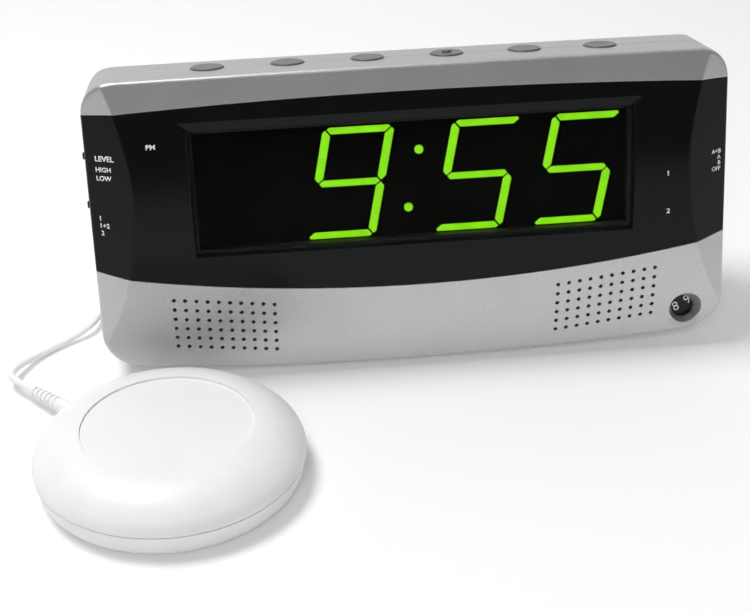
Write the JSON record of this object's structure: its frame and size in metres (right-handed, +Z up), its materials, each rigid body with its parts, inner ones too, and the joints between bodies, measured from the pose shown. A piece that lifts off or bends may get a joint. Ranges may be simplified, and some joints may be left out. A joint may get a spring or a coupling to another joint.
{
  "type": "alarm clock with bed shaker",
  "caption": "Bedside alarm clock with a large digital display, top buttons, slide switches and a volume wheel, and a round vibrating bed shaker on a cord.",
  "frame": {"origin": "on the table plane that the clock's rubber feet and the shaker stand on, midway between the clock's left and right feet and front and rear feet", "axes": "+X to the clock's right as seen from the front, +Y from the front to the back, +Z up"},
  "size_m": [0.2602, 0.2324, 0.1112],
  "materials": {
    "silver_case": "satin silver moulded plastic",
    "black_gloss": "polished black",
    "display_lens": "clear smoked window",
    "black_matte": "matte black",
    "display_black": "matte black mask",
    "lit_green": "lit lime green bars",
    "unlit_grey": "unlit bars",
    "green_board": "green circuit board",
    "capacitor_sleeve": "dark blue sleeve",
    "dark_knob": "dark grey",
    "grey_plastic": "grey",
    "grey_button": "satin grey",
    "zinc_steel": "zinc plated",
    "paper_black": "black paper cone",
    "battery_wrap": "plain wrap with metal ends",
    "black_rubber": "soft rubber",
    "white_shell": "satin white moulded plastic",
    "label_white": "smooth white label",
    "brass_weight": "machined",
    "white_cord": "smooth white jacket",
    "white_plug": "white moulded plug"
  },
  "bodies": {
    "clock": {"front_shell": "silver_case", "face_band": "black_gloss", "display_lens": "display_lens", "display_bezel": "black_matte", "display_module": "display_black", "lit_segments": "lit_green", "unlit_segments": "unlit_grey", "main_board": "green_board", "board_chips": "black_matte", "board_capacitors": "capacitor_sleeve", "button_board": "green_board", "tact_switches": "black_matte", "vibration_switch": "black_matte", "alarm_switch": "black_matte", "mode_switch": "black_matte", "left_switch_board": "green_board", "right_switch_board": "green_board", "volume_control": "grey_plastic", "speaker_frame": "zinc_steel", "speaker_cone": "paper_black", "piezo_sounder": "black_matte", "rear_shell": "silver_case", "backup_battery": "battery_wrap", "battery_snap": "black_matte", "power_jack": "black_matte", "power_jack_nut": "zinc_steel", "shaker_jack": "black_matte", "shaker_jack_nut": "zinc_steel", "case_screws": "zinc_steel", "board_screws": "zinc_steel", "rubber_feet": "black_rubber", "shaker_top_shell": "white_shell", "shaker_bottom_shell": "white_shell", "shaker_label": "label_white", "shaker_motor": "zinc_steel", "motor_bracket": "zinc_steel", "strap_screws": "zinc_steel", "shaker_screws": "zinc_steel", "strain_relief": "white_cord", "shaker_cord": "white_cord", "cord_coil": "white_cord", "cord_tail": "white_cord", "shaker_plug": "white_plug"},
    "button_1_body": {"top_button_1": "grey_button"},
    "button_2_body": {"top_button_2": "grey_button"},
    "button_3_body": {"top_button_3": "grey_button"},
    "button_4_body": {"top_button_4": "grey_button"},
    "button_5_body": {"top_button_5": "grey_button"},
    "button_6_body": {"top_button_6": "grey_button"},
    "vibration_knob_body": {"vibration_switch_knob": "dark_knob"},
    "alarm_knob_body": {"alarm_switch_knob": "dark_knob"},
    "mode_knob_body": {"mode_switch_knob": "dark_knob"},
    "volume_wheel_body": {"volume_wheel": "black_matte"},
    "battery_door_body": {"battery_door": "silver_case"},
    "shaker_rotor": {"motor_shaft": "zinc_steel", "eccentric_weight": "brass_weight"}
  },
  "joints": [
    {"name": "press_button_1", "type": "slide", "parent": "clock", "child": "button_1_body", "axis": [0, -0.1977, -0.9803], "range_m": [0, 0.0008], "stiffness_N_per_m": 300},
    {"name": "press_button_2", "type": "slide", "parent": "clock", "child": "button_2_body", "axis": [0, -0.1977, -0.9803], "range_m": [0, 0.0008], "stiffness_N_per_m": 300},
    {"name": "press_button_3", "type": "slide", "parent": "clock", "child": "button_3_body", "axis": [0, -0.1977, -0.9803], "range_m": [0, 0.0008], "stiffness_N_per_m": 300},
    {"name": "press_button_4", "type": "slide", "parent": "clock", "child": "button_4_body", "axis": [0, -0.1977, -0.9803], "range_m": [0, 0.0008], "stiffness_N_per_m": 300},
    {"name": "press_button_5", "type": "slide", "parent": "clock", "child": "button_5_body", "axis": [0, -0.1977, -0.9803], "range_m": [0, 0.0008], "stiffness_N_per_m": 300},
    {"name": "press_button_6", "type": "slide", "parent": "clock", "child": "button_6_body", "axis": [0, -0.1977, -0.9803], "range_m": [0, 0.0008], "stiffness_N_per_m": 300},
    {"name": "vibration_switch_slide", "type": "slide", "parent": "clock", "child": "vibration_knob_body", "axis": [0, -0.1977, -0.9803], "range_m": [0, 0.0027]},
    {"name": "alarm_switch_slide", "type": "slide", "parent": "clock", "child": "alarm_knob_body", "axis": [0, -0.1977, -0.9803], "range_m": [0, 0.0052]},
    {"name": "mode_switch_slide", "type": "slide", "parent": "clock", "child": "mode_knob_body", "axis": [0, 0.1977, 0.9803], "range_m": [0, 0.006]},
    {"name": "volume_turn", "type": "hinge", "parent": "clock", "child": "volume_wheel_body", "pos_m": [0.0886, -0.02792, 0.03268], "axis": [0, -0.9803, 0.1977], "range_deg": [-22.5, 112.5]},
    {"name": "battery_door_hinge", "type": "hinge", "parent": "clock", "child": "battery_door_body", "pos_m": [0.046, 0.02635, 0.03392], "axis": [-1, 0, 0], "range_deg": [0, 95]},
    {"name": "shaker_spin", "type": "hinge", "parent": "clock", "child": "shaker_rotor", "pos_m": [-0.0885, -0.0925, 0.01], "axis": [1, 0, 0], "continuous": true}
  ]
}
